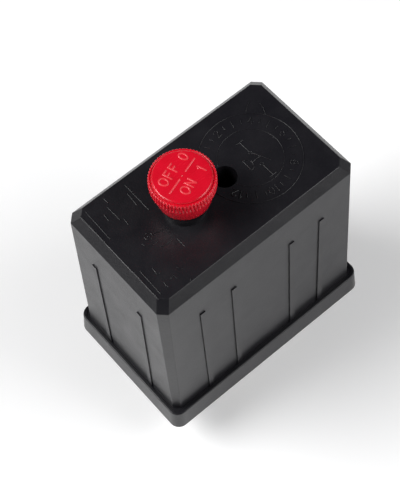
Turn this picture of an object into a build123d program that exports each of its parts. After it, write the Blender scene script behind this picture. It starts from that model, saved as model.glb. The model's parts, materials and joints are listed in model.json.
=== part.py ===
"""Compressor pressure switch with a push-pull knob, one STEP file per separate piece.

Millimetres, +Z up. The origin is the mouth of the pressure port, on the port's axis, which is also the
middle of the footprint. +X runs along the case, from the knob's side towards the round badge.
"""
import os

from build123d import *

# ---- driving dimensions -------------------------------------------------------------------------
BASE_L = 93.2                 # outside of the base rim at its foot
BASE_W = 59.8
BASE_R = 4.0                  # rim's upright corners
RIM_H = 10.0
RIM_T = 1.3
RIM_DRAFT = 0.7               # per side, over the height of the rim
FLOOR_T = 3.0
BASE_Z = 16.0                 # underside of the base above the mouth of the port
FLOOR_Z = BASE_Z + FLOOR_T
RIM_Z = BASE_Z + RIM_H

FOOT_L = 88.0                 # cover wall at its foot
FOOT_W = 54.2
FOOT_CORNER = 2.1             # leg of the flat on each upright corner, at its foot
WALL_L = 85.9                 # cover wall at its head
WALL_W = 51.1
WALL_T = 2.2
HEAD_Z = BASE_Z + 84.2
LID_Z = BASE_Z + 88.0
LID_L = 80.2                  # flat of the lid inside its chamfer
LID_W = 45.4
LID_T = 2.5
CORNER = 2.8                  # the same at the head
EDGE_ROUND = 0.45             # rounding of the moulded edges
SEAM = 0.2                    # gap between the cover's foot and the rim
STEP_Z = RIM_Z - 0.25         # top of the cover's foot flange

RIB_W = 2.2
RIB_PROUD = 0.4
RIB_TOP_Z = BASE_Z + 68.5
LONG_RIBS = (-27.0, -13.1, 13.1, 27.0)
SHORT_RIBS = (-12.1, 12.1)

KNOB_X = -11.3
KNOB_Z = LID_Z + 6.6          # lower edge of the knob's skirt, pulled out
KNOB_TRAVEL = 5.0
KNOB_RIM_R = 11.3
KNOB_TOP_R = 10.2
KNOB_SKIRT_R = 9.1
KNOB_H = 13.1
STEM_R = 3.0
STEM_FIT = 0.06
CLIP_Y = 3.75                 # each leg of the stem's spring clip, from the stem's axis
CLIP_R = 0.5
NECK_R = 7.6
NECK_H = 2.2

WELL_X = 6.1                  # cover screw and the well that it sits in
WELL_R = 4.3
WELL_SEAT_R = 3.9             # narrower round the screw's head
WELL_SEAT_H = 4.0
BAR_Z = 58.4                  # top of the bar that the cover screw pulls on
BAR_T = 4.0

PORT_R = 5.8
PORT_DEPTH = 11.0
FLANGE_HALF = 21.0
FLANGE_T = 6.0
FLANGE_PITCH = 15.6           # from the port's axis, along X and along Y
DIAPHRAGM_R = 16.5
DIAPHRAGM_T = 1.5
PISTON_R = 9.5
PISTON_ROD_R = 4.0
PISTON_TOP_Z = 28.95
PIN_FIT = 0.05

STEEL = 1.6                   # sheet of the frame
FRAME_Y = 17.0
FRAME_TOP = FLOOR_Z + STEEL
PIVOT_X = -24.0
PIVOT_Z = 34.0
PIVOT_R = 2.0
LEVER_Z = 29.0
LEVER_T = 2.0
LEVER_HALF = 12.0

RANGE_X = 26.0
RANGE_SPRING_R = 6.8
RANGE_WIRE_R = 1.1
RANGE_CAP_Z = 62.0
STUD_R = 3.0
DIFF_X = 13.0
DIFF_STUD_R = 2.0
DIFF_CAP_Z = 45.0

ROCKER_X = -36.0
ROCKER_Z = 58.0
ROCKER_LOW = 56.0
ROCKER_TOP = 59.0
ROCKER_PIN_R = 1.5
ROCKER_SPRING_X = -22.0
BLOCK_Z = 64.0                # underside of the terminal block's slab
BLOCK_T = 7.0
LEG_IN = 18.0
LEG_OUT = 22.0
CONTACT_Z = 62.0
CONTACT_Y = 11.0
CONTACT_XS = (-25.5, -16.5)
TERMINALS = ((-31.0, -14.0), (-31.0, 14.0), (-11.5, -14.0), (-11.5, 14.0))
LINK_X = -30.0

ENTRY_X = 35.5                # the two cable entries, and the plate that clamps their grommets
ENTRY_Y = 17.5
ENTRY_R = 5.0
CABLE_R = 3.5
CLAMP_Y = 8.0
CLAMP_Z = FLOOR_Z + 3.6
CLAMP_T = 2.4

os.makedirs("parts", exist_ok=True)


# ---- helpers ------------------------------------------------------------------------------------
def block(x0, x1, y0, y1, z0, z1):
    middle = Pos((x0 + x1) / 2, (y0 + y1) / 2, (z0 + z1) / 2)
    return middle * Box(x1 - x0, y1 - y0, z1 - z0)


def rod(x, y, radius, z0, z1):
    return Pos(x, y, (z0 + z1) / 2) * Cylinder(radius, z1 - z0)


def cross_rod(x, z, radius, y0, y1):
    return Pos(x, (y0 + y1) / 2, z) * Rot(90, 0, 0) * Cylinder(radius, y1 - y0)


def hexagon(x, y, across_flats, z0, z1):
    outline = RegularPolygon(across_flats / 2, 6, major_radius=False)
    return Pos(x, y, z0) * extrude(outline, z1 - z0)


def cut_rect(length, width, leg, z):
    """A rectangle with a flat of the given leg across each corner."""
    a, b = length / 2, width / 2
    points = [(a, b - leg), (a - leg, b), (leg - a, b), (-a, b - leg),
              (-a, leg - b), (leg - a, -b), (a - leg, -b), (a, leg - b)]
    return Pos(0, 0, z) * Polygon(*points, align=None)


def round_rect(length, width, radius, z):
    return Pos(0, 0, z) * RectangleRounded(length, width, radius)


def between(*sections):
    return loft(list(sections), ruled=True)


def coil(x, y, mean_r, wire_r, z0, z1, turns):
    """An open compression spring that stands between the two heights."""
    height = z1 - z0 - 2 * wire_r
    path = Helix(pitch=height / turns, height=height, radius=mean_r)
    section = Plane(origin=path @ 0, z_dir=path % 0) * Circle(wire_r)
    return Pos(x, y, z0 + wire_r) * sweep(section, path=path, is_frenet=True)


def screw(x, y, shank_r, z_tip, z_seat, head_r, head_h):
    """A pan-head screw, head up, with a cross slot."""
    head = rod(x, y, head_r, z_seat, z_seat + head_h)
    head = chamfer(head.edges().group_by(Axis.Z)[-1], head_h * 0.3)
    slot_z = z_seat + head_h
    for dx, dy in ((head_r * 0.62, 0.45), (0.45, head_r * 0.62)):
        head -= block(x - dx, x + dx, y - dy, y + dy, slot_z - head_h * 0.5, slot_z + 1)
    return head + rod(x, y, shank_r, z_tip, z_seat)


def upturned(shape, z):
    """The same shape upside down, mirrored in the level plane at z."""
    return mirror(shape, about=Plane.XY.offset(z))


def save(name, *solids):
    made = []
    for item in solids:
        made += list(item.solids())
    export_step(Compound(children=made) if len(made) > 1 else made[0], f"parts/{name}.step")


# ---- case ---------------------------------------------------------------------------------------
def cover_outside():
    body = between(cut_rect(FOOT_L, FOOT_W, FOOT_CORNER, FLOOR_Z), cut_rect(WALL_L, WALL_W, CORNER, HEAD_Z))
    lid = between(cut_rect(WALL_L, WALL_W, CORNER, HEAD_Z), cut_rect(LID_L, LID_W, CORNER, LID_Z))
    outside = body + lid
    above_foot = [edge for edge in outside.edges() if edge.center().Z > FLOOR_Z + 1]
    return fillet(above_foot, EDGE_ROUND)


def rib_section(along_x, place, wall, depth, z):
    """A slice of a rib; it starts inside the wall and stands proud of it."""
    if along_x:
        return Pos(place, wall + depth / 2 - 1, z) * Rectangle(RIB_W, depth + 2)
    return Pos(wall + depth / 2 - 1, place, z) * Rectangle(depth + 2, RIB_W)


def wall_ribs():
    share = (RIB_TOP_Z - STEP_Z) / (HEAD_Z - STEP_Z)
    made = []
    for x in LONG_RIBS:
        top_y = (FOOT_W + (WALL_W - FOOT_W) * share) / 2
        rib = between(rib_section(True, x, FOOT_W / 2, RIB_PROUD, STEP_Z - 1),
                      rib_section(True, x, top_y, RIB_PROUD, RIB_TOP_Z))
        made += [rib, mirror(rib, about=Plane.XZ)]
    for y in SHORT_RIBS:
        top_x = (FOOT_L + (WALL_L - FOOT_L) * share) / 2
        rib = between(rib_section(False, y, FOOT_L / 2, RIB_PROUD, STEP_Z - 1),
                      rib_section(False, y, top_x, RIB_PROUD, RIB_TOP_Z))
        made += [rib, mirror(rib, about=Plane.YZ)]
    return made


def cover():
    flange_l = BASE_L - 2 * (RIM_DRAFT + RIM_T + SEAM)
    flange_w = BASE_W - 2 * (RIM_DRAFT + RIM_T + SEAM)
    shell = cover_outside()
    shell += extrude(round_rect(flange_l, flange_w, BASE_R - RIM_T - SEAM, FLOOR_Z), STEP_Z - FLOOR_Z)
    for piece in wall_ribs():
        shell += piece
    thin = 2 * WALL_T
    inner_leg = CORNER / 2
    ceiling = LID_Z - LID_T
    shell -= between(cut_rect(FOOT_L - thin, FOOT_W - thin, inner_leg, FLOOR_Z - 1),
                     cut_rect(WALL_L - thin, WALL_W - thin, inner_leg, HEAD_Z - 2))
    shell -= between(cut_rect(WALL_L - thin, WALL_W - thin, inner_leg, HEAD_Z - 2),
                     cut_rect(LID_L - thin, LID_W - thin, inner_leg, ceiling))
    shell += rod(KNOB_X, 0, NECK_R, ceiling - 1, LID_Z + NECK_H)
    shell += rod(KNOB_X, 0, NECK_R - 1.2, ceiling - 7, ceiling)
    shell += rod(WELL_X, 0, WELL_R + 2.1, BAR_Z, ceiling + 1)
    shell -= rod(KNOB_X, 0, STEM_R + STEM_FIT, ceiling - 10, LID_Z + NECK_H + 1)
    shell -= rod(WELL_X, 0, WELL_SEAT_R, BAR_Z + 3, LID_Z)
    shell -= rod(WELL_X, 0, WELL_R, BAR_Z + 3 + WELL_SEAT_H, LID_Z + 1)
    shell -= rod(WELL_X, 0, 2.2, BAR_Z - 1, BAR_Z + 4)
    clip_z = ceiling - 4.6
    for side in (-1, 1):
        low, high = sorted((side * 3.2, side * 4.4))
        shell -= block(KNOB_X - 8, KNOB_X + 8, low, high, clip_z, clip_z + 1.2)
    return shell


def base():
    low = round_rect(BASE_L, BASE_W, BASE_R, BASE_Z)
    high = round_rect(BASE_L - 2 * RIM_DRAFT, BASE_W - 2 * RIM_DRAFT, BASE_R, RIM_Z)
    tray = between(low, high)
    tray = fillet(tray.edges().group_by(Axis.Z)[-1], EDGE_ROUND)
    inside = 2 * (RIM_DRAFT + RIM_T)
    tray -= extrude(round_rect(BASE_L - inside, BASE_W - inside, BASE_R - RIM_T, FLOOR_Z), RIM_H)
    tray -= rod(0, 0, PISTON_R + 0.5, BASE_Z - 1, FLOOR_Z + 1)
    for x in (-FLANGE_PITCH, FLANGE_PITCH):
        for y in (-FLANGE_PITCH, FLANGE_PITCH):
            tray -= rod(x, y, 2.2, BASE_Z - 1, FLOOR_Z + 1)
    for x in (-35.0, -25.0):
        for y in (-20.0, 20.0):
            tray -= rod(x, y, 1.4, BASE_Z - 1, FLOOR_Z + 1)
            tray -= rod(x, y, 2.6, BASE_Z - 1, BASE_Z + 2)
    for side in (-1, 1):
        tray -= rod(ENTRY_X, side * ENTRY_Y, ENTRY_R, BASE_Z - 1, FLOOR_Z + 1)
        tray += rod(ENTRY_X, side * CLAMP_Y, 2.6, FLOOR_Z - 0.5, CLAMP_Z)
        tray -= rod(ENTRY_X, side * CLAMP_Y, 1.4, FLOOR_Z - 2, CLAMP_Z + 1)
    return tray


def cover_fastening():
    seat = BAR_Z + 3
    washer = rod(WELL_X, 0, 3.7, seat, seat + 0.8) - rod(WELL_X, 0, 2.0, seat - 1, seat + 2)
    save("cover_screw_washer", washer)
    save("cover_screw", screw(WELL_X, 0, 2.0, BAR_Z - BAR_T - 4, seat + 0.8, 3.6, 2.8))
    bar = block(WELL_X - 5, WELL_X + 5, -FRAME_Y + 0.4, FRAME_Y - 0.4, BAR_Z - BAR_T, BAR_Z)
    save("cover_bar", bar - rod(WELL_X, 0, 2.0, BAR_Z - BAR_T - 1, BAR_Z + 1))


# ---- pressure side ------------------------------------------------------------------------------
def flange():
    low = BASE_Z - FLANGE_T
    plate = extrude(round_rect(2 * FLANGE_HALF, 2 * FLANGE_HALF, 6, low), FLANGE_T)
    body = plate + hexagon(0, 0, 24, 0, low + 1)
    body = body + rod(0, 0, 15, low - 2, low + 1)
    body -= rod(0, 0, DIAPHRAGM_R, BASE_Z - DIAPHRAGM_T, BASE_Z + 1)
    body -= rod(0, 0, DIAPHRAGM_R - 5, BASE_Z - DIAPHRAGM_T - 2, BASE_Z)
    body -= rod(0, 0, PORT_R, -1, PORT_DEPTH)
    body -= rod(0, 0, 3, PORT_DEPTH - 1, BASE_Z - 2)
    for x in (-FLANGE_PITCH, FLANGE_PITCH):
        for y in (-FLANGE_PITCH, FLANGE_PITCH):
            body -= rod(x, y, 2.2, low - 3, BASE_Z + 1)
    return body


def flange_fastening():
    seat = BASE_Z - FLANGE_T
    screws, washers = [], []
    for x in (-FLANGE_PITCH, FLANGE_PITCH):
        for y in (-FLANGE_PITCH, FLANGE_PITCH):
            washers.append(rod(x, y, 4.0, seat - 0.8, seat) - rod(x, y, 2.0, seat - 1, seat + 1))
            one = screw(x, y, 2.0, -FRAME_TOP - 1.4, 0.8 - seat, 3.5, 2.4)
            screws.append(upturned(one, 0))
    save("flange_screws", *screws)
    save("flange_washers", *washers)


def piston():
    body = rod(0, 0, PISTON_R, BASE_Z, BASE_Z + 1.6)
    body += rod(0, 0, PISTON_ROD_R, BASE_Z + 1, PISTON_TOP_Z - PISTON_ROD_R)
    return body + Pos(0, 0, PISTON_TOP_Z - PISTON_ROD_R) * Sphere(PISTON_ROD_R)


# ---- frame and lever ----------------------------------------------------------------------------
def frame():
    plate = block(-29.5, 30, -FRAME_Y, FRAME_Y, FLOOR_Z, FRAME_TOP)
    for side in (-1, 1):
        low, high = sorted((side * (FRAME_Y - 0.4), side * (FRAME_Y - 0.4 - STEEL)))
        plate += block(-28, -18, low, high, FRAME_TOP - 0.1, 40)
        plate += block(WELL_X - 4, WELL_X + 4, low, high, FRAME_TOP - 0.1, BAR_Z - BAR_T)
    plate -= cross_rod(PIVOT_X, PIVOT_Z, PIVOT_R, -20, 20)
    plate -= rod(0, 0, PISTON_ROD_R + PIN_FIT, FLOOR_Z - 1, FRAME_TOP + 1)
    plate -= rod(RANGE_X, 0, STUD_R, FLOOR_Z - 1, FRAME_TOP + 1)
    plate -= rod(DIFF_X, 0, DIFF_STUD_R, FLOOR_Z - 1, FRAME_TOP + 1)
    for x in (-FLANGE_PITCH, FLANGE_PITCH):
        for y in (-FLANGE_PITCH, FLANGE_PITCH):
            plate -= rod(x, y, 2.0, FLOOR_Z - 1, FRAME_TOP + 1)
    for y in (-13.5, 13.5):
        plate -= rod(24, y, 1.75, FLOOR_Z - 1, FRAME_TOP + 1)
    return plate


def pivot_hardware():
    save("pivot_pin", cross_rod(PIVOT_X, PIVOT_Z, PIVOT_R, -17.6, 17.6))
    clips = []
    for side in (-1, 1):
        low, high = sorted((side * 16.7, side * 17.4))
        clip = cross_rod(PIVOT_X, PIVOT_Z, 3.6, low, high)
        clip -= cross_rod(PIVOT_X, PIVOT_Z, PIVOT_R, low - 1, high + 1)
        clips.append(clip - block(PIVOT_X - 1, PIVOT_X + 1, low - 1, high + 1, PIVOT_Z - 4, PIVOT_Z))
    save("pivot_clips", *clips)


def pressure_lever():
    top = LEVER_Z + LEVER_T
    plate = block(-28, 36, -LEVER_HALF, LEVER_HALF, LEVER_Z, top)
    plate += block(-35, -27, -6, 6, LEVER_Z, top)
    for side in (-1, 1):
        low, high = sorted((side * LEVER_HALF, side * (LEVER_HALF - 1.2)))
        plate += block(-28, 34, low, high, top - 0.1, top + 3)
        plate += block(-28, -19, low, high, top, PIVOT_Z + 4)
    plate -= cross_rod(PIVOT_X, PIVOT_Z, PIVOT_R + PIN_FIT, -15, 15)
    plate -= rod(RANGE_X, 0, STUD_R + 1.4, LEVER_Z - 1, top + 1)
    plate -= rod(DIFF_X, 0, DIFF_STUD_R + 1, LEVER_Z - 1, top + 1)
    return plate - block(LINK_X - 3, LINK_X + 3, -1.1, 1.1, LEVER_Z - 1, top + 1)


def trip_link():
    """Flat link with a foot under the lever's tail and a slot round the rocker's peg."""
    strip = block(LINK_X - 2.5, LINK_X + 2.5, -0.6, 0.6, 27, 62)
    strip += block(LINK_X - 2.5, LINK_X + 2.5, -3, 3, 27, 28.5)
    strip += block(LINK_X - 2.5, LINK_X + 2.5, -3, 3, 31.5, 33)
    return strip - block(LINK_X - 1.5, LINK_X + 1.5, -2, 2, 55, 59.1)


# ---- range and differential springs -------------------------------------------------------------
def range_set():
    top = LEVER_Z + LEVER_T
    seat = rod(RANGE_X, 0, 9, top, top + 1.2) + rod(RANGE_X, 0, 5.4, top + 1, top + 3)
    save("spring_seat", seat - rod(RANGE_X, 0, STUD_R + 1.4, top - 1, top + 4))
    save("range_spring", coil(RANGE_X, 0, RANGE_SPRING_R, RANGE_WIRE_R, top + 1.2, RANGE_CAP_Z, 7))
    cap = rod(RANGE_X, 0, 9, RANGE_CAP_Z, RANGE_CAP_Z + 2) + rod(RANGE_X, 0, 5.4, RANGE_CAP_Z - 2, RANGE_CAP_Z + 1)
    save("spring_cap", cap - rod(RANGE_X, 0, STUD_R, RANGE_CAP_Z - 3, RANGE_CAP_Z + 3))
    nut = hexagon(RANGE_X, 0, 10, RANGE_CAP_Z + 2, RANGE_CAP_Z + 7)
    save("range_nut", nut - rod(RANGE_X, 0, STUD_R, RANGE_CAP_Z, RANGE_CAP_Z + 8))
    save("range_stud", rod(RANGE_X, 0, STUD_R, FLOOR_Z, RANGE_CAP_Z + 14))


def differential_set():
    top = LEVER_Z + LEVER_T
    save("differential_spring", coil(DIFF_X, 0, 3.3, 0.5, top, DIFF_CAP_Z, 6))
    washer = rod(DIFF_X, 0, 4.4, DIFF_CAP_Z, DIFF_CAP_Z + 1)
    save("differential_washer", washer - rod(DIFF_X, 0, DIFF_STUD_R, DIFF_CAP_Z - 1, DIFF_CAP_Z + 2))
    nut = hexagon(DIFF_X, 0, 7, DIFF_CAP_Z + 1, DIFF_CAP_Z + 4.2)
    save("differential_nut", nut - rod(DIFF_X, 0, DIFF_STUD_R, DIFF_CAP_Z, DIFF_CAP_Z + 5))
    save("differential_stud", rod(DIFF_X, 0, DIFF_STUD_R, FLOOR_Z, DIFF_CAP_Z + 8))


# ---- contacts -----------------------------------------------------------------------------------
def contact_block():
    top = BLOCK_Z + BLOCK_T
    slab = block(-39.5, -5, -LEG_OUT, LEG_OUT, BLOCK_Z, top)
    for side in (-1, 1):
        low, high = sorted((side * LEG_IN, side * LEG_OUT))
        slab += block(-38, -12, low, high, FLOOR_Z, BLOCK_Z + 1)
        low, high = sorted((side * 5.2, side * 6.8))
        slab += block(-38.5, -6, low, high, top - 1, top + 6)
        low, high = sorted((side * 6, side * (LEG_OUT - 0.5)))
        slab += block(-22, -20.4, low, high, top - 1, top + 6)
    slab -= rod(KNOB_X, 0, STEM_R + 1.5, BLOCK_Z - 1, top + 1)
    slab -= cross_rod(ROCKER_X, ROCKER_Z, ROCKER_PIN_R, -23, 23)
    for x, y in TERMINALS:
        slab -= rod(x, y, 2.0, BLOCK_Z - 1, top + 1)
    for x in (-35.0, -25.0):
        for y in (-20.0, 20.0):
            slab -= rod(x, y, 1.4, FLOOR_Z - 1, FLOOR_Z + 11)
    return slab


def block_screws():
    made = []
    for x in (-35.0, -25.0):
        for y in (-20.0, 20.0):
            one = screw(x, y, 1.4, -FLOOR_Z - 11, -BASE_Z - 2, 2.5, 1.8)
            made.append(upturned(one, 0))
    return made


def terminal_hardware():
    strips, tips, screws, clamps = [], [], [], []
    top = BLOCK_Z + BLOCK_T
    for x, y in TERMINALS:
        side = 1 if y > 0 else -1
        contact_x = CONTACT_XS[0] if x < -20 else CONTACT_XS[1]
        low_x, high_x = sorted((x + (-3 if x < -20 else 3), contact_x + (2 if x < -20 else -2)))
        low_y, high_y = sorted((side * 8.6, side * 17.2))
        strip = block(low_x, high_x, low_y, high_y, BLOCK_Z - 1.2, BLOCK_Z)
        strips.append(strip - rod(x, y, 2.0, BLOCK_Z - 2, BLOCK_Z + 1))
        tips.append(rod(contact_x, side * CONTACT_Y, 1.8, CONTACT_Z + 0.05, BLOCK_Z - 1.2))
        screws.append(screw(x, y, 2.0, BLOCK_Z - 1.2, top + 2.2, 3.6, 2.4))
        clamp = block(x - 4, x + 4, y - 4, y + 4, top + 1, top + 2.2)
        for edge in (-4.0, 3.0):
            clamp += block(x - 4, x + 4, y + edge, y + edge + 1, top, top + 1.2)
        clamps.append(clamp - rod(x, y, 2.0, top - 1, top + 3))
    save("fixed_contacts", *strips)
    save("fixed_contact_tips", *tips)
    save("terminal_screws", *screws)
    save("terminal_clamps", *clamps)


def rocker():
    body = block(ROCKER_X, -7, -15, 15, ROCKER_LOW, ROCKER_TOP)
    body += cross_rod(ROCKER_X, ROCKER_Z, 3.2, -15, 15)
    for side in (-1, 1):
        body += rod(-21, side * CONTACT_Y, 1.2, ROCKER_TOP - 0.5, ROCKER_TOP + 3.4)
    body -= block(LINK_X - 3.5, LINK_X + 4, -2, 2, ROCKER_LOW - 2, ROCKER_TOP + 3)
    body += cross_rod(LINK_X, 57.5, 1.0, -2.5, 2.5)
    return body - cross_rod(ROCKER_X, ROCKER_Z, ROCKER_PIN_R + PIN_FIT, -16, 16)


def rocker_hardware():
    bridges, tips, springs = [], [], []
    for side in (-1, 1):
        y = side * CONTACT_Y
        strip = block(-27.5, -14.5, y - 2.2, y + 2.2, CONTACT_Z - 1.8, CONTACT_Z - 0.8)
        bridges.append(strip - rod(-21, y, 1.25, CONTACT_Z - 3, CONTACT_Z + 1))
        for x in CONTACT_XS:
            tips.append(rod(x, y, 1.8, CONTACT_Z - 0.8, CONTACT_Z))
        sleeve = rod(-21, y, 2.1, ROCKER_TOP, CONTACT_Z - 1.8)
        springs.append(sleeve - rod(-21, y, 1.3, ROCKER_TOP - 1, CONTACT_Z))
    save("contact_bridges", *bridges)
    save("bridge_tips", *tips)
    save("contact_springs", *springs)
    save("rocker_pin", cross_rod(ROCKER_X, ROCKER_Z, ROCKER_PIN_R, -LEG_OUT, LEG_OUT))
    strap = block(-27.2, -16.8, -FRAME_Y + 0.4, FRAME_Y - 0.4, 40, 40 + STEEL)
    save("spring_bridge", strap + rod(ROCKER_SPRING_X, 0, 3.0, 41, 43.5))
    save("rocker_spring", coil(ROCKER_SPRING_X, 0, 4.0, 0.6, 40 + STEEL, ROCKER_LOW, 6))


# ---- knob ---------------------------------------------------------------------------------------
def knob():
    outline = [(STEM_R, 2.0), (4.6, 2.0), (4.6, 7.0), (8.0, 6.6), (8.1, 0), (KNOB_SKIRT_R, 0),
               (10.7, 6.8), (10.95, 7.6), (KNOB_RIM_R, 8.1), (KNOB_RIM_R, 11.8), (10.9, 12.4),
               (KNOB_TOP_R, KNOB_H), (0, KNOB_H), (0, 10.2), (STEM_R, 10.2)]
    profile = make_face(Plane.XZ * Polyline(*outline, close=True))
    return Pos(KNOB_X, 0, KNOB_Z) * revolve(profile, axis=Axis.Z)


def knob_stem():
    tip_z = ROCKER_TOP + 0.1 + STEM_R
    stem = rod(KNOB_X, 0, STEM_R, tip_z, KNOB_Z + 10.2) + Pos(KNOB_X, 0, tip_z) * Sphere(STEM_R)
    clip_z = LID_Z - LID_T - 4.6
    for z in (clip_z, clip_z + KNOB_TRAVEL):
        groove = rod(KNOB_X, 0, STEM_R + 1, z, z + 1.2) - rod(KNOB_X, 0, STEM_R - 0.4, z - 1, z + 2)
        stem -= groove
    return stem


def stem_clip():
    clip_z = LID_Z - LID_T - 4
    legs = []
    for side in (-1, 1):
        legs.append(Pos(KNOB_X - 0.5, side * CLIP_Y, clip_z) * Rot(0, 90, 0) * Cylinder(CLIP_R, 14))
    turn = Pos(KNOB_X + 6.5, 0, clip_z) * Torus(CLIP_Y, CLIP_R)
    turn -= block(KNOB_X - 2, KNOB_X + 6.5, -6, 6, clip_z - 2, clip_z + 2)
    return legs[0] + legs[1] + turn


# ---- cables and earth ---------------------------------------------------------------------------
def cable_hardware():
    """Rubber grommets, and the plate that two screws press down on them."""
    grommets, screws = [], []
    half_w = ENTRY_Y + ENTRY_R
    plate = block(ENTRY_X - 4.8, ENTRY_X + 4.8, -half_w, half_w, CLAMP_Z, CLAMP_Z + CLAMP_T)
    plate = fillet(plate.edges().filter_by(Axis.Z), 2)
    for side in (-1, 1):
        y = side * ENTRY_Y
        ring = rod(ENTRY_X, y, ENTRY_R, BASE_Z - 1.4, FLOOR_Z + 1)
        ring += rod(ENTRY_X, y, ENTRY_R + 1, BASE_Z - 1.4, BASE_Z)
        ring += rod(ENTRY_X, y, ENTRY_R + 0.35, FLOOR_Z, CLAMP_Z)
        grommets.append(ring - rod(ENTRY_X, y, CABLE_R, BASE_Z - 3, CLAMP_Z + 1))
        plate -= rod(ENTRY_X, y, CABLE_R + 0.3, CLAMP_Z - 1, CLAMP_Z + CLAMP_T + 1)
        plate -= rod(ENTRY_X, side * CLAMP_Y, 1.4, CLAMP_Z - 1, CLAMP_Z + CLAMP_T + 1)
        screws.append(screw(ENTRY_X, side * CLAMP_Y, 1.4, FLOOR_Z - 1, CLAMP_Z + CLAMP_T, 2.4, 1.6))
    save("cable_grommets", *grommets)
    save("cable_clamp", plate)
    save("clamp_screws", *screws)


def earth_hardware():
    screws, washers = [], []
    for y in (-13.5, 13.5):
        washer = rod(24, y, 3.2, FRAME_TOP, FRAME_TOP + 1)
        washers.append(washer - rod(24, y, 1.75, FRAME_TOP - 1, FRAME_TOP + 2))
        screws.append(screw(24, y, 1.75, FLOOR_Z, FRAME_TOP + 1, 2.8, 2.0))
    save("earth_screws", *screws)
    save("earth_washers", *washers)


save("cover", cover())
save("base", base())
cover_fastening()
save("flange", flange())
flange_fastening()
save("diaphragm", rod(0, 0, DIAPHRAGM_R, BASE_Z - DIAPHRAGM_T, BASE_Z))
save("piston", piston())
save("frame", frame())
pivot_hardware()
save("pressure_lever", pressure_lever())
save("trip_link", trip_link())
range_set()
differential_set()
save("contact_block", contact_block())
save("block_screws", *block_screws())
terminal_hardware()
save("rocker", rocker())
rocker_hardware()
save("knob", knob())
save("knob_stem", knob_stem())
save("stem_clip", stem_clip())
cable_hardware()
earth_hardware()
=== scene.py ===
"""Compressor pressure switch: visual pieces, materials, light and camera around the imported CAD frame.

Metres, in the frame of the CAD part: +Z up through the lid, +X from the knob towards the round badge.
"""
import json
import math

import bpy
from mathutils import Matrix, Vector

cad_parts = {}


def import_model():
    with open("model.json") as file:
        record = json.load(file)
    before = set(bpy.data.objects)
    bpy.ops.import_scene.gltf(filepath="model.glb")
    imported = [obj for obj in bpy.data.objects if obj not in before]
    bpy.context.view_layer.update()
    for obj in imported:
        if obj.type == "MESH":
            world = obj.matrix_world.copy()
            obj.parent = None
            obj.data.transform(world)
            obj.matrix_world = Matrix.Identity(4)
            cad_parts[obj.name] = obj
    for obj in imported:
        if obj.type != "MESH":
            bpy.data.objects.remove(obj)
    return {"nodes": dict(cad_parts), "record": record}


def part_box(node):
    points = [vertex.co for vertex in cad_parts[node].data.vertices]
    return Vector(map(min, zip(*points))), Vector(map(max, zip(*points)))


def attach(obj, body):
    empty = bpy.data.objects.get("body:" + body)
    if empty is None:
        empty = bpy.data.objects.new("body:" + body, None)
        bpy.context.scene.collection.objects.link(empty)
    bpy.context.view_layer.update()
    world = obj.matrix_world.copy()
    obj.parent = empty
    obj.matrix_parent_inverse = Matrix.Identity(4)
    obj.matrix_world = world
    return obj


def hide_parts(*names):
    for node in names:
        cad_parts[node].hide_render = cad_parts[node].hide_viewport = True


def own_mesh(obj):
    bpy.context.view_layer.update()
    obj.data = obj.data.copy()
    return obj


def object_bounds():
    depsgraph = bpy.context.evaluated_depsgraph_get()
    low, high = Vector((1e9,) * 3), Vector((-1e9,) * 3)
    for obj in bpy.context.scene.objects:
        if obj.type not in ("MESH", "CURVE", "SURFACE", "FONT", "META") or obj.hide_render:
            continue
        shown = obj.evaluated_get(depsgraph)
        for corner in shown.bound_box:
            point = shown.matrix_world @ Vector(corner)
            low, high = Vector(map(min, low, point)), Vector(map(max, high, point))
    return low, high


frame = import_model()
cad_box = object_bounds()

MM = 0.001


# ---- places read from the frame -----------------------------------------------------------------
def middle(node):
    low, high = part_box(node)
    return (low + high) / 2


NECK_H = 2.2 * MM
LID_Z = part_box("cover")[1].z - NECK_H
KNOB_X = middle("knob").x
KNOB_LOW_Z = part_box("knob")[0].z
KNOB_TOP_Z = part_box("knob")[1].z
KNOB_RIM_R = (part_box("knob")[1].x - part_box("knob")[0].x) / 2
BADGE_X = 17.6 * MM

RELIEF = 0.24 * MM            # how far a moulded mark stands above its surface
SUNK = 0.08 * MM              # how far its foot goes into that surface
ROUND_STEPS = 6               # across the rounded section of a mark


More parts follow.
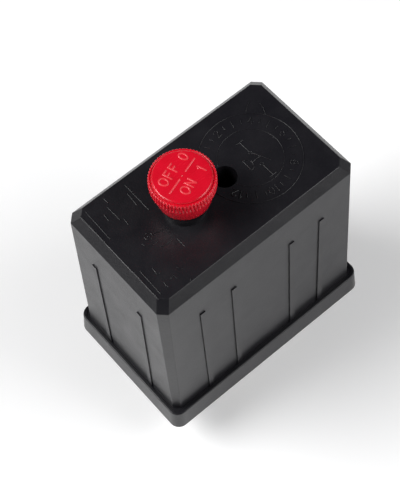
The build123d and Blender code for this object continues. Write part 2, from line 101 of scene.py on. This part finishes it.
# ---- node graphs --------------------------------------------------------------------------------
class Graph:
    """A material's nodes, with one Principled shader at the end."""

    def __init__(self, name):
        self.material = bpy.data.materials.new(name)
        self.material.use_nodes = True
        self.tree = self.material.node_tree
        self.tree.nodes.clear()
        self.shader = self.add("ShaderNodeBsdfPrincipled")
        output = self.add("ShaderNodeOutputMaterial")
        self.join(self.shader.outputs["BSDF"], output.inputs["Surface"])
        self.place = self.add("ShaderNodeTexCoord").outputs["Object"]

    def add(self, kind, **values):
        node = self.tree.nodes.new(kind)
        for key, value in values.items():
            setattr(node, key, value)
        return node

    def join(self, source, target):
        self.tree.links.new(source, target)

    def set(self, **values):
        for key, value in values.items():
            self.shader.inputs[key.replace("_", " ")].default_value = value

    def noise(self, size, detail=2.0, stretch=(1, 1, 1), distortion=0.0):
        """Noise whose features are about size metres across, longer along an axis with a stretch over 1."""
        mapping = self.add("ShaderNodeMapping")
        self.join(self.place, mapping.inputs["Vector"])
        mapping.inputs["Scale"].default_value = [1 / (size * s) for s in stretch]
        texture = self.add("ShaderNodeTexNoise")
        texture.inputs["Scale"].default_value = 1.0
        texture.inputs["Detail"].default_value = detail
        texture.inputs["Distortion"].default_value = distortion
        self.join(mapping.outputs["Vector"], texture.inputs["Vector"])
        return texture.outputs["Fac"]

    def cells(self, size):
        mapping = self.add("ShaderNodeMapping")
        self.join(self.place, mapping.inputs["Vector"])
        mapping.inputs["Scale"].default_value = [1 / size] * 3
        texture = self.add("ShaderNodeTexVoronoi")
        texture.inputs["Scale"].default_value = 1.0
        self.join(mapping.outputs["Vector"], texture.inputs["Vector"])
        return texture.outputs["Distance"]

    def turned_rings(self, size):
        """Fine rings round the local Z axis, as a lathe leaves them on a face."""
        texture = self.add("ShaderNodeTexWave", wave_type="BANDS", bands_direction="Z")
        texture.inputs["Scale"].default_value = 1 / (size * 20)
        texture.inputs["Distortion"].default_value = 1.5
        texture.inputs["Detail"].default_value = 2.0
        self.join(self.place, texture.inputs["Vector"])
        return texture.outputs["Fac"]

    def ramp(self, factor, low, high, start=0.3, end=0.7):
        """Colours or numbers from low to high, as the factor goes from start to end."""
        node = self.add("ShaderNodeValToRGB")
        stops = node.color_ramp.elements
        for stop, place, value in ((stops[0], start, low), (stops[1], end, high)):
            stop.position = place
            stop.color = (*value, 1) if isinstance(value, tuple) else (value, value, value, 1)
        self.join(factor, node.inputs["Fac"])
        return node.outputs["Color"]

    def mix(self, factor, first, second, mode="MIX"):
        node = self.add("ShaderNodeMix", data_type="RGBA", blend_type=mode)
        if isinstance(factor, float):
            node.inputs[0].default_value = factor
        else:
            self.join(factor, node.inputs[0])
        for socket, value in ((node.inputs[6], first), (node.inputs[7], second)):
            if isinstance(value, tuple):
                socket.default_value = (*value, 1)
            else:
                self.join(value, socket)
        return node.outputs[2]

    def sum(self, first, second, share):
        """first + share x second, as a height."""
        node = self.add("ShaderNodeMath", operation="MULTIPLY_ADD")
        self.join(second, node.inputs[0])
        node.inputs[1].default_value = share
        self.join(first, node.inputs[2])
        return node.outputs[0]

    def color(self, socket):
        self.join(socket, self.shader.inputs["Base Color"])

    def roughness(self, socket):
        self.join(socket, self.shader.inputs["Roughness"])

    def bump(self, height, depth, strength=0.5):
        node = self.add("ShaderNodeBump")
        node.inputs["Strength"].default_value = strength
        node.inputs["Distance"].default_value = depth
        self.join(height, node.inputs["Height"])
        self.join(node.outputs["Normal"], self.shader.inputs["Normal"])


# ---- materials, one for each slot of the record, and a lighter red for the signs on the knob ------
def black_moulding():
    """Black thermoplastic from a spark-eroded tool: fine grain, faint flow clouds, dust in the pores."""
    g = Graph("black_moulding")
    clouds = g.noise(9 * MM, detail=3.0, distortion=0.4)
    grain = g.noise(0.42 * MM, detail=3.0)
    base = g.ramp(clouds, (0.0085, 0.0082, 0.0105), (0.0115, 0.011, 0.0135))
    dust = g.ramp(grain, (0.0, 0.0, 0.0), (0.004, 0.004, 0.0045), 0.52, 0.8)
    g.color(g.mix(1.0, base, dust, "ADD"))
    g.roughness(g.ramp(g.sum(clouds, grain, 0.4), 0.28, 0.38, 0.4, 1.0))
    g.bump(g.sum(grain, g.noise(1.1 * MM), 0.5), 0.08 * MM, 0.7)
    g.set(IOR=1.43)
    return g.material


def red_moulding(name, dark, bright):
    """Red semi-gloss thermoplastic, pigment slightly clouded, with hair-fine handling marks."""
    g = Graph(name)
    clouds = g.noise(5 * MM, detail=2.0)
    scuffs = g.noise(0.5 * MM, detail=3.0, stretch=(6, 1, 1), distortion=1.2)
    g.color(g.ramp(clouds, dark, bright))
    g.roughness(g.ramp(scuffs, 0.2, 0.31, 0.35, 0.75))
    g.bump(g.noise(0.8 * MM, detail=2.0), 0.02 * MM, 0.25)
    g.set(IOR=1.5)
    return g.material


def phenolic():
    """Brown phenolic with its wood-flour speckle."""
    g = Graph("phenolic")
    flour = g.noise(0.7 * MM, detail=4.0)
    speck = g.ramp(g.cells(0.9 * MM), 1.0, 0.0, 0.05, 0.28)
    body = g.ramp(flour, (0.085, 0.036, 0.02), (0.17, 0.085, 0.05))
    g.color(g.mix(speck, body, (0.045, 0.02, 0.012)))
    g.roughness(g.ramp(flour, 0.38, 0.52))
    g.bump(flour, 0.03 * MM, 0.3)
    return g.material


def white_moulding():
    """Natural white nylon, a little yellowed in clouds."""
    g = Graph("white_moulding")
    clouds = g.noise(7 * MM, detail=2.0)
    g.color(g.ramp(clouds, (0.72, 0.69, 0.6), (0.8, 0.78, 0.71)))
    g.roughness(g.ramp(g.noise(1.2 * MM), 0.4, 0.52))
    g.bump(g.noise(0.5 * MM), 0.02 * MM, 0.3)
    return g.material


def plated(name, dull, bright, rough, stretch, pits=0.02 * MM):
    """Plated sheet or wire: drawing lines along one axis, cloudy passivation, small pits."""
    g = Graph(name)
    lines = g.noise(0.35 * MM, detail=3.0, stretch=stretch)
    clouds = g.noise(4 * MM, detail=3.0, distortion=0.6)
    g.color(g.mix(0.35, g.ramp(clouds, dull, bright), g.ramp(lines, dull, bright)))
    g.roughness(g.ramp(lines, rough, rough + 0.16))
    g.bump(g.sum(lines, g.noise(0.9 * MM), 0.4), pits, 0.35)
    g.set(Metallic=1.0)
    return g.material


def yellow_zinc():
    """Yellow chromate over zinc: gold that drifts to green and rose."""
    g = Graph("yellow_zinc")
    drift = g.noise(6 * MM, detail=3.0, distortion=1.0)
    gold = g.ramp(drift, (0.72, 0.56, 0.25), (0.76, 0.66, 0.4))
    tint = g.ramp(g.noise(11 * MM, distortion=1.5), (0.55, 0.68, 0.42), (0.8, 0.52, 0.46), 0.35, 0.65)
    lines = g.noise(0.4 * MM, detail=3.0, stretch=(7, 1, 1))
    g.color(g.mix(0.3, gold, tint))
    g.roughness(g.ramp(lines, 0.26, 0.42))
    g.bump(lines, 0.02 * MM, 0.3)
    g.set(Metallic=1.0)
    return g.material


def die_cast():
    """Zinc alloy as cast: soft orange-peel skin with darker flow streaks."""
    g = Graph("die_cast")
    pebble = g.noise(0.9 * MM, detail=4.0)
    streaks = g.noise(6 * MM, detail=3.0, stretch=(1, 3, 1), distortion=1.0)
    flow = g.ramp(streaks, (0.36, 0.36, 0.38), (0.58, 0.58, 0.6))
    peel = g.ramp(pebble, (0.4, 0.4, 0.42), (0.6, 0.6, 0.61))
    g.color(g.mix(0.5, flow, peel))
    g.roughness(g.ramp(pebble, 0.38, 0.55))
    g.bump(pebble, 0.06 * MM, 0.5)
    g.set(Metallic=0.9)
    return g.material


def brass():
    """Turned and blanked brass with a light tarnish."""
    g = Graph("brass")
    tarnish = g.noise(5 * MM, detail=3.0, distortion=0.8)
    rings = g.turned_rings(0.25 * MM)
    g.color(g.ramp(tarnish, (0.5, 0.33, 0.13), (0.76, 0.56, 0.26)))
    g.roughness(g.ramp(g.sum(tarnish, rings, 0.3), 0.22, 0.4, 0.3, 0.9))
    g.bump(rings, 0.015 * MM, 0.3)
    g.set(Metallic=1.0)
    return g.material


def rubber():
    """Moulded black rubber with bloom and a pebbled skin."""
    g = Graph("rubber")
    bloom = g.noise(3 * MM, detail=4.0)
    g.color(g.ramp(bloom, (0.012, 0.012, 0.012), (0.035, 0.034, 0.033), 0.4, 0.8))
    g.roughness(g.ramp(bloom, 0.6, 0.8))
    g.bump(g.noise(0.3 * MM, detail=3.0), 0.03 * MM, 0.5)
    return g.material


MATERIALS = {
    "black_moulding": black_moulding(),
    "red_moulding": red_moulding("red_moulding", (0.62, 0.0035, 0.017), (0.69, 0.0045, 0.021)),
    # a lighter red than the knob's own, used only on the raised signs
    "red_lighter": red_moulding("red_lighter", (0.76, 0.045, 0.06), (0.82, 0.055, 0.07)),
    "phenolic": phenolic(),
    "white_moulding": white_moulding(),
    "zinc_steel": plated("zinc_steel", (0.5, 0.5, 0.49), (0.7, 0.7, 0.68), 0.24, (8, 1, 1)),
    "yellow_zinc": yellow_zinc(),
    "spring_steel": plated("spring_steel", (0.2, 0.2, 0.21), (0.4, 0.41, 0.43), 0.25, (1, 1, 3), 0.01 * MM),
    "die_cast": die_cast(),
    "brass": brass(),
    "silver": plated("silver", (0.66, 0.64, 0.6), (0.86, 0.85, 0.82), 0.2, (2, 2, 1), 0.01 * MM),
    "rubber": rubber(),
}


def finish_cad_nodes():
    """Every CAD node takes its slot's material."""
    for part in frame["record"]["subparts"]:
        mesh = frame["nodes"][part["node"]].data
        mesh.materials.clear()
        mesh.materials.append(MATERIALS[part["material_slot"]])


# ---- mesh building ------------------------------------------------------------------------------
def add_piece(name, shapes, slot, body, smooth_angle=math.radians(40), look=None):
    """One piece from (points, faces) shapes, riding on a body; look is a variant of its slot."""
    points, faces = [], []
    for shape_points, shape_faces in shapes:
        start = len(points)
        points.extend(shape_points)
        faces.extend([start + i for i in face] for face in shape_faces)
    mesh = bpy.data.meshes.new(name)
    mesh.from_pydata([tuple(p) for p in points], [], faces)
    mesh.update()
    mesh.shade_smooth()
    mesh.set_sharp_from_angle(angle=smooth_angle)
    mesh.materials.append(MATERIALS[look or slot])
    piece = bpy.data.objects.new(name, mesh)
    bpy.context.scene.collection.objects.link(piece)
    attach(piece, body)
    return piece


def skin(rings, closed_along):
    """Points and faces of a tube through equal rings, with its ends capped unless it closes on itself."""
    size = len(rings[0])
    points = [p for ring in rings for p in ring]
    faces = []
    spans = len(rings) if closed_along else len(rings) - 1
    for i in range(spans):
        j = (i + 1) % len(rings)
        for k in range(size):
            m = (k + 1) % size
            faces.append((i * size + k, i * size + m, j * size + m, j * size + k))
    if not closed_along:
        faces.append(tuple(reversed(range(size))))
        faces.append(tuple((len(rings) - 1) * size + k for k in range(size)))
    return points, faces


def lathe(profile, center, steps, radius_at):
    """A closed profile of (radius, height) points turned round an upright axis through center.

    radius_at gives a point's radius from its profile radius, its height and the turn.
    """
    rings = []
    for i in range(steps):
        turn = 2 * math.pi * i / steps
        ring = []
        for radius, height in profile:
            r = radius_at(radius, height, turn)
            ring.append(center + Vector((r * math.cos(turn), r * math.sin(turn), height)))
        rings.append(ring)
    return skin(rings, closed_along=True)


def ridge(path, width, height=RELIEF, closed=False):
    """A moulded line: a low rounded ridge along flat points on a surface, with round ends."""
    path = [Vector(p) for p in path]
    count = len(path)
    stations = []
    for i, point in enumerate(path):
        before = path[i - 1] if i or closed else None
        after = path[(i + 1) % count] if i < count - 1 or closed else None
        into = (point - before).normalized() if before is not None else (after - point).normalized()
        out = (after - point).normalized() if after is not None else into
        along = (into + out).normalized()
        stations.append((point, along, min(1.4, 1 / max(0.3, along.dot(into))), 1.0))
    if not closed:
        head, tail = stations[0], stations[-1]
        steps = [math.pi / 2 * k / 4 for k in range(1, 5)]
        round_head = [(head[0] - head[1] * width / 2 * math.sin(a), head[1], 1.0, max(0.08, math.cos(a)))
                      for a in reversed(steps)]
        round_tail = [(tail[0] + tail[1] * width / 2 * math.sin(a), tail[1], 1.0, max(0.08, math.cos(a)))
                      for a in steps]
        stations = round_head + stations + round_tail
    rings = []
    for point, along, mitre, share in stations:
        side = Vector((-along.y, along.x, 0))
        half = width / 2 * mitre * share
        ring = [point - side * half - Vector((0, 0, SUNK))]
        for k in range(ROUND_STEPS + 1):
            turn = math.pi * k / ROUND_STEPS
            rise = height * share * math.sin(turn)
            ring.append(point - side * half * math.cos(turn) + Vector((0, 0, rise)))
        ring.append(point + side * half - Vector((0, 0, SUNK)))
        rings.append(ring)
    return skin(rings, closed_along=closed)


def arc(x, y, radius_x, radius_y, start, end, steps=12):
    """Flat points along part of an ellipse, in degrees."""
    turns = [math.radians(start + (end - start) * i / steps) for i in range(steps + 1)]
    return [(x + radius_x * math.cos(t), y + radius_y * math.sin(t)) for t in turns]


def ellipse(x, y, radius_x, radius_y, steps=28):
    """Flat points round a whole ellipse, as a closed path."""
    return arc(x, y, radius_x, radius_y, 0, 360, steps)[:-1]


# Strokes of the generic signs, on a cell one high: (points, closed).
SIGNS = {
    "0": [(ellipse(0, 0.5, 0.3, 0.5), True)],
    "O": [(ellipse(0, 0.5, 0.38, 0.5), True)],
    "1": [([(0.06, 0), (0.06, 1)], False), ([(0.06, 1), (-0.16, 0.78)], False)],
    "2": [(arc(0, 0.72, 0.28, 0.28, 170, -30, 10) + [(-0.3, 0)], False), ([(-0.3, 0), (0.32, 0)], False)],
    "4": [([(0.14, 0), (0.14, 1), (-0.3, 0.3), (0.34, 0.3)], False)],
    "6": [(ellipse(0, 0.3, 0.28, 0.3), True), (arc(0.2, 0.3, 0.48, 0.7, 180, 105, 8), False)],
    "8": [(ellipse(0, 0.25, 0.29, 0.25), True), (ellipse(0, 0.76, 0.24, 0.24), True)],
    "F": [([(-0.25, 0), (-0.25, 1), (0.3, 1)], False), ([(-0.25, 0.52), (0.2, 0.52)], False)],
    "N": [([(-0.3, 0), (-0.3, 1)], False), ([(-0.3, 1), (0.3, 0)], False), ([(0.3, 0), (0.3, 1)], False)],
}


def on_plane(points, origin, across, height_of_plane):
    """Flat points turned so that their x runs along across, and set on an upright-facing plane."""
    across = Vector(across).normalized()
    up = Vector((-across.y, across.x))
    placed = []
    for x, y in points:
        flat = Vector(origin) + across * x + up * y
        placed.append((flat.x, flat.y, height_of_plane))
    return placed


def sign(letter, origin, across, size, width, z):
    """The raised strokes of one sign, with its foot at origin and its line of writing along across."""
    shapes = []
    for points, closed in SIGNS[letter]:
        scaled = [(x * size, y * size) for x, y in points]
        shapes.append(ridge(on_plane(scaled, origin, across, z), width, closed=closed))
    return shapes


# ---- knob ---------------------------------------------------------------------------------------
KNURLS = 60
KNURL_DEPTH = 0.42 * MM
KNOB_MARK = 0.28 * MM         # relief of the signs on the knob


def knob():
    """Skirt, knurled rim, groove and crowned disc, hollow below with a hub on the stem."""
    face = KNOB_TOP_Z - KNOB_LOW_Z - KNOB_MARK
    rim = KNOB_RIM_R
    disc = 10.1 * MM
    hub = [(3.0, 10.2), (3.0, 2.0), (4.6, 2.0), (4.6, 7.0), (8.0, 6.7)]
    skirt = [(8.1, 0.2), (8.3, 0.0), (8.95, 0.0), (9.12, 0.15), (9.35, 1.0), (10.05, 4.0)]
    flare = [(10.65, 6.7), (10.72, 7.15), (10.82, 7.5), (11.0, 7.8)]
    profile = [(r * MM, z * MM) for r, z in hub + skirt + flare]
    profile += [(rim - 0.1 * MM, 8.05 * MM), (rim, 8.5 * MM), (rim, 10.0 * MM), (rim, 11.55 * MM)]
    for k in range(1, 6):
        turn = math.pi / 2 * k / 5
        profile.append((rim - 0.55 * MM * (1 - math.cos(turn)), (11.55 + 0.55 * math.sin(turn)) * MM))
    groove = [(0.42, 12.02), (0.24, 11.8), (0.06, 11.85)]
    profile += [(disc + r * MM, z * MM) for r, z in groove]
    edge = 0.8 * MM
    for k in range(0, 7):
        turn = math.pi / 2 * k / 6
        profile.append((disc - edge * (1 - math.cos(turn)), face - edge + edge * math.sin(turn)))
    profile += [(r * MM, face) for r in (7.6, 5.0, 2.5, 0.02)]
    profile.append((0.02 * MM, 10.2 * MM))

    def knurled(radius, height, turn):
        low, high = 8.0 * MM, 12.15 * MM
        if radius < rim - 0.7 * MM or not low < height < high:
            return radius
        fade = min(1.0, (height - low) / (0.4 * MM), (high - height) / (0.3 * MM))
        tooth = 0.5 - 0.5 * math.cos(KNURLS * turn)
        return radius - KNURL_DEPTH * fade * tooth ** 1.4

    center = Vector((KNOB_X, 0, KNOB_LOW_Z))
    piece = add_piece("knob_cap", [lathe(profile, center, KNURLS * 10, knurled)], "red_moulding", "knob",
                      math.radians(50))
    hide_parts("knob")


def knob_marks():
    """OFF 0 over ON 1, either side of a line through the middle with a centre dot."""
    turn = math.radians(18.4)
    across = Vector((math.cos(turn), math.sin(turn)))
    up = Vector((-across.y, across.x))
    center = Vector((KNOB_X, 0))
    face = KNOB_TOP_Z - KNOB_MARK
    size = 3.2 * MM
    width = 0.66 * MM
    shapes = []

    def write(text, start, step, foot):
        for i, letter in enumerate(text):
            origin = center + across * (start + step * i) * MM + up * foot * MM
            shapes.extend(sign(letter, origin, across, size, width, face))

    write("OFF", -4.9, 3.1, 2.4)
    write("0", 6.5, 0, 2.0)
    write("ON", -4.0, 3.2, -5.3)
    write("1", 5.5, 0, -5.5)
    for start, end in ((-7.4, -1.5), (2.2, 7.7)):
        line = [(start * MM, 0), (end * MM, 0)]
        shapes.append(ridge(on_plane(line, center, across, face), width))
    shapes.append(ridge(on_plane(ellipse(0, 0, 0.16 * MM, 0.16 * MM, 12), center, across, face), 0.34 * MM,
                        closed=True))
    for points, _ in shapes:
        for point in points:
            point.z = min(point.z, KNOB_TOP_Z)
    # the signs take the lighter red
    add_piece("knob_marks", shapes, "red_moulding", "knob", look="red_lighter")


# ---- lid ----------------------------------------------------------------------------------------
def flat(points):
    """Points on the lid, given in millimetres."""
    return [(x * MM, y * MM, LID_Z) for x, y in points]


def badge():
    """Two raised rings, the inner one open at the well, with a dial's ticks and numbers between them."""
    center = (BADGE_X / MM, 0)
    rings = [ridge(flat(ellipse(*center, 18.0, 18.0, 120)), 0.42 * MM, closed=True),
             ridge(flat(arc(*center, 11.5, 11.5, -156, 156, 80)), 0.3 * MM, 0.16 * MM)]
    add_piece("badge_rings", rings, "black_moulding", "housing")

    numbers = ["0", "2", "4", "6", "8", "10", "12"]
    first, last = 148.0, -148.0
    digit_step = 8.5
    foot_radius, size, width = 13.6 * MM, 2.7 * MM, 0.4 * MM
    shapes = []
    for i, text in enumerate(numbers):
        turn = first + (last - first) * i / (len(numbers) - 1)
        for k, letter in enumerate(text):
            place = math.radians(turn - digit_step * (k - (len(text) - 1) / 2))
            out = Vector((math.cos(place), math.sin(place)))
            origin = Vector((BADGE_X, 0)) + out * foot_radius
            shapes.extend(sign(letter, origin, (out.y, -out.x), size, width, LID_Z))
    add_piece("badge_numbers", shapes, "black_moulding", "housing")

    ticks = []
    ticks_per_number = 4
    gaps = (len(numbers) - 1) * ticks_per_number
    for i in range(gaps + 1):
        if i % ticks_per_number == 0:
            continue
        turn = math.radians(first + (last - first) * i / gaps)
        inner, outer = (13.4, 16.2) if i % 2 == 0 else (14.2, 15.8)
        line = [(center[0] + r * math.cos(turn), center[1] + r * math.sin(turn)) for r in (inner, outer)]
        ticks.append(ridge(flat(line), 0.36 * MM))
    add_piece("badge_ticks", ticks, "black_moulding", "housing")


def badge_symbol():
    """The plain circuit sign of a pressure-operated contact, in the middle of the badge."""
    strokes = [
        ([(-8.6, 0.8), (-3.6, 0.8)], False), ([(3.4, 0.8), (8.6, 0.8)], False),
        (ellipse(-3.0, 0.8, 0.55, 0.55, 16), True), (ellipse(2.9, 0.8, 0.55, 0.55, 16), True),
        ([(-2.6, 1.2), (3.4, 3.9)], False),
        ([(-8.6, -0.6), (-8.6, 2.2)], False), ([(8.6, -0.6), (8.6, 2.2)], False),
        ([(0.2, 2.2), (0.2, 0.9)], False), ([(0.2, 0.1), (0.2, -1.2)], False),
        (arc(0.2, -3.4, 2.3, 2.2, 0, 180, 16) + [(-2.1, -3.4)], False),
        ([(-2.1, -3.4), (2.5, -3.4)], False),
    ]
    shapes = []
    for points, closed in strokes:
        scaled = [(x * MM, y * MM) for x, y in points]
        placed = on_plane(scaled, (BADGE_X + 0.4 * MM, -1.5 * MM), (0, -1), LID_Z)
        shapes.append(ridge(placed, 0.5 * MM, closed=closed))
    add_piece("badge_symbol", shapes, "black_moulding", "housing")


def lid_diagram():
    """Raised lines at the knob's end of the lid and along its edge, and two marks behind the badge."""
    lines = [
        [(-37.5, 20.6), (-37.8, 7.2)], [(-38.0, -8.8), (-38.2, -19.8)], [(-21.1, 20.2), (-21.2, 7.1)],
        [(-22.6, 16.8), (-23.0, 11.3)], [(-29.8, 20.8), (-29.7, 18.4)], [(-30.9, 17.4), (-30.8, 10.6)],
        [(-29.6, 10.0), (-29.8, 7.4)], [(-33.6, 15.7), (-33.8, 12.8)], [(-25.8, -0.8), (-22.7, -1.9)],
        [(-21.2, -7.5), (-21.2, -11.4)], [(-34.2, -10.6), (-34.6, -13.4), (-33.6, -13.6)],
        [(-32.4, -17.5), (-30.7, -16.9), (-30.6, -18.7)], [(-28.2, -15.8), (-27.2, -17.0)],
        [(-27.2, -6.3), (-23.1, -6.8)], [(-27.2, -21.6), (-27.9, -22.4)],
    ]
    edge = -39.9
    lines += [[(edge, 20.6), (edge, 6.3)], [(edge, -6.3), (edge, -20.6)]]
    width = 0.4 * MM
    shapes = [ridge(flat(line), width) for line in lines]
    shapes.append(ridge(flat(arc(-30.3, -18.3, 4.6, 3.4, 145, 205, 8)), width))
    shapes.append(ridge(flat(ellipse(-27.7, -0.5, 1.35, 1.35, 24)), width, closed=True))
    shapes.append(ridge(flat(ellipse(-27.7, -0.5, 0.25, 0.25, 12)), 0.5 * MM, closed=True))
    shapes.append(ridge(flat(arc(-27.7, -0.5, 3.6, 3.6, 195, 290, 10)), 0.3 * MM, 0.14 * MM))
    shapes.append(ridge(flat([(32.4, 17.5), (30.7, 16.6), (28.8, 15.2)]), width))
    shapes.append(ridge(flat([(34.8, 14.3), (34.1, 12.0), (32.9, 9.5)]), width))
    add_piece("lid_diagram", shapes, "black_moulding", "housing")


# ---- springs and thread -------------------------------------------------------------------------
def coil_shape(x, y, mean_radius, wire, low, high, turns, around=10):
    """A compression spring with one close turn at each end."""
    steps = 28
    dead = 1.0
    total = turns + 2 * dead
    free = (high - low) - 2 * wire - 4 * wire * dead
    count = int(total * steps)
    rings = []
    for i in range(count + 1):
        t = total * i / count
        if t < dead:
            z = 2 * wire * t
        elif t > total - dead:
            z = (high - low) - 2 * wire - 2 * wire * (total - t)
        else:
            z = 2 * wire * dead + free * (t - dead) / turns
        turn = 2 * math.pi * t
        out = Vector((math.cos(turn), math.sin(turn), 0))
        center = Vector((x, y, low + wire + z)) + out * mean_radius
        rings.append([center + (out * math.cos(a) + Vector((0, 0, 1)) * math.sin(a)) * wire
                      for a in (2 * math.pi * k / around for k in range(around))])
    return skin(rings, closed_along=False)


def coil_of(node, wire, turns):
    """A coil in the box of a CAD spring."""
    low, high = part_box(node)
    center = (low + high) / 2
    outer = (high.x - low.x) / 2
    return coil_shape(center.x, center.y, outer - wire, wire, low.z, high.z, turns)


def springs():
    plans = (
        ("range_coil", "range_spring", 1.1 * MM, 5.0, "lever_hinge", 1, 0.9),
        ("differential_coil", "differential_spring", 0.5 * MM, 6.0, "lever_hinge", 1, 0.85),
        ("rocker_coil", "rocker_spring", 0.6 * MM, 5.0, "rocker_hinge", 0, 0.72),
    )
    for name, node, wire, turns, joint, fixed_end, keep in plans:
        piece = add_piece(name, [coil_of(node, wire, turns)], "spring_steel", "housing")
        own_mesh(piece)
        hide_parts(node)


def contact_coils():
    """The two small springs under the bridging contacts."""
    low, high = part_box("contact_springs")
    radius = (high.x - low.x) / 2
    x = (low.x + high.x) / 2
    wire = 0.17 * MM
    shapes = []
    for y in (low.y + radius, high.y - radius):
        shapes.append(coil_shape(x, y, radius - wire, wire, low.z, high.z, 1.4, around=8))
    piece = add_piece("contact_coils", shapes, "spring_steel", "rocker")
    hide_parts("contact_springs")


def port_thread():
    """The pipe thread's crests inside the pressure port."""
    bore = 5.8 * MM
    outside = bore + 0.05 * MM
    start = 0.8 * MM
    pitch = 1.337 * MM
    depth = 0.42 * MM
    length = 10.2 * MM
    breadth = 0.86 * pitch
    steps = 40
    count = int((length - pitch) / pitch * steps)
    rings = []
    for i in range(count + 1):
        turn = 2 * math.pi * i / steps
        out = Vector((math.cos(turn), math.sin(turn), 0))
        ends = min(1.0, i / steps, (count - i) / steps)
        z = start + pitch * i / steps
        crest = bore - depth * max(0.05, ends)
        section = [(outside, -0.56), (bore, -0.5), (crest, -0.12)]
        section += [(crest, 0.12), (bore, 0.5), (outside, 0.56)]
        rings.append([out * r + Vector((0, 0, z + share * breadth)) for r, share in section])
    add_piece("port_thread", [skin(rings, closed_along=False)], "die_cast", "housing")


# ---- stage --------------------------------------------------------------------------------------
def floor():
    mesh = bpy.data.meshes.new("floor")
    half = 4.0
    corners = [(-half, -half, 0), (half, -half, 0), (half, half, 0), (-half, half, 0)]
    mesh.from_pydata(corners, [], [(0, 1, 2, 3)])
    g = Graph("floor")
    g.color(g.ramp(g.noise(0.4, detail=1.0), (0.9, 0.9, 0.9), (0.92, 0.92, 0.92)))
    g.set(Roughness=0.9, Emission_Strength=0.17, Emission_Color=(1, 1, 1, 1))
    mesh.materials.append(g.material)
    plane = bpy.data.objects.new("floor", mesh)
    plane.location.z = cad_box[0][2] - 0.2 * MM
    bpy.context.scene.collection.objects.link(plane)


def soft_box(name, azimuth, elevation, distance, width, height, power):
    """An area light that faces the middle of the case; azimuth is counted from +X towards +Y."""
    azimuth, elevation = math.radians(azimuth), math.radians(elevation)
    direction = Vector((math.cos(azimuth) * math.cos(elevation), math.sin(azimuth) * math.cos(elevation),
                        math.sin(elevation)))
    data = bpy.data.lights.new(name, "AREA")
    data.shape = "RECTANGLE"
    data.size = width
    data.size_y = height
    data.energy = power
    light = bpy.data.objects.new(name, data)
    light.location = Vector((0, 0, 0.06)) + direction * distance
    light.rotation_euler = direction.to_track_quat("Z", "Y").to_euler()
    bpy.context.scene.collection.objects.link(light)


def world():
    """Dim grey at the horizon and darker overhead, so that the lid mirrors a dark ceiling."""
    sky = bpy.data.worlds.new("studio")
    sky.use_nodes = True
    tree = sky.node_tree
    place = tree.nodes.new("ShaderNodeTexCoord")
    split = tree.nodes.new("ShaderNodeSeparateXYZ")
    ramp = tree.nodes.new("ShaderNodeValToRGB")
    stops = ramp.color_ramp.elements
    stops[0].position, stops[0].color = 0.0, (0.16, 0.16, 0.16, 1)
    stops[1].position, stops[1].color = 0.75, (0.03, 0.03, 0.035, 1)
    middle_stop = stops.new(0.3)
    middle_stop.color = (0.07, 0.07, 0.074, 1)
    tree.links.new(place.outputs["Generated"], split.inputs["Vector"])
    tree.links.new(split.outputs["Z"], ramp.inputs["Fac"])
    tree.links.new(ramp.outputs["Color"], tree.nodes["Background"].inputs["Color"])
    bpy.context.scene.world = sky


def camera():
    azimuth, elevation, roll = (math.radians(a) for a in (-35.42, 61.4, -5.59))
    distance = 496.7 * MM
    aside, above = -5.8 * MM, -0.1 * MM
    aim = Vector((0, 0, 60.0 * MM))
    back = Vector((math.sin(azimuth) * math.cos(elevation), -math.cos(azimuth) * math.cos(elevation),
                   math.sin(elevation)))
    level = Vector((math.cos(azimuth), math.sin(azimuth), 0))
    upright = back.cross(level)
    right = math.cos(roll) * level + math.sin(roll) * upright
    up = math.cos(roll) * upright - math.sin(roll) * level
    data = bpy.data.cameras.new("camera")
    data.lens = 98.3
    data.sensor_width = 36.0
    data.clip_start = 0.01
    eye = bpy.data.objects.new("camera", data)
    eye.matrix_world = Matrix((right, up, back)).transposed().to_4x4()
    eye.matrix_world.translation = aim + right * aside + up * above + back * distance
    bpy.context.scene.collection.objects.link(eye)
    bpy.context.scene.camera = eye


def studio():
    floor()
    world()
    soft_box("left", azimuth=146, elevation=46, distance=1.2, width=0.8, height=0.6, power=14.5)
    soft_box("front", azimuth=312, elevation=42, distance=1.2, width=0.8, height=0.6, power=7.3)
    soft_box("low", azimuth=288, elevation=21, distance=1.3, width=0.7, height=0.25, power=1.9)
    camera()
    bpy.context.scene.view_settings.view_transform = "Standard"


finish_cad_nodes()
knob()
knob_marks()
badge()
badge_symbol()
lid_diagram()
springs()
contact_coils()
port_thread()
studio()
